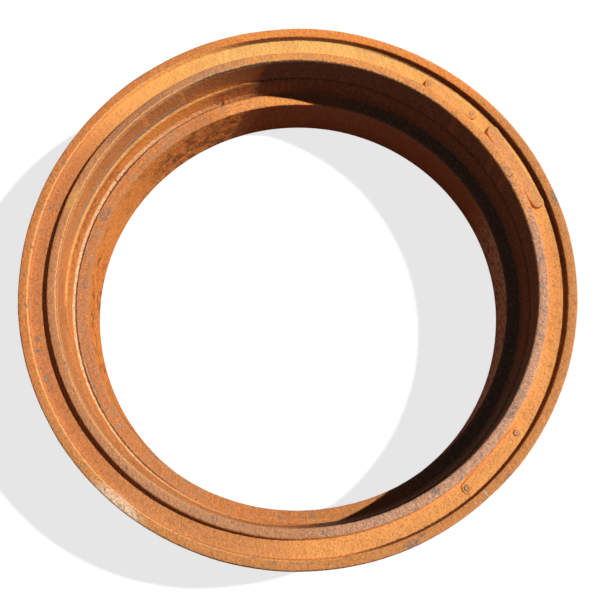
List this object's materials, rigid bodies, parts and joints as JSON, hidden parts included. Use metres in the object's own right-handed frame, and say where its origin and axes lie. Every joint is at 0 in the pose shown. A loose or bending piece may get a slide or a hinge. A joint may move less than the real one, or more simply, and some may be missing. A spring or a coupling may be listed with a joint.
{
  "type": "manhole ring",
  "caption": "Rusted cast-iron manhole ring: flanged top with raised rim, deep cover pocket with a seat, and a round clear opening.",
  "frame": {"origin": "centre of the bottom edge, on the floor that the ring stands on", "axes": "+Z along the ring's axis, up out of the cover pocket; the picture was taken from the -Y side, with +X to its right"},
  "size_m": [0.9678, 0.9678, 0.2286],
  "materials": {
    "rusted_iron": "weathered"
  },
  "bodies": {
    "root": {"ring_casting": "rusted_iron"}
  },
  "joints": []
}
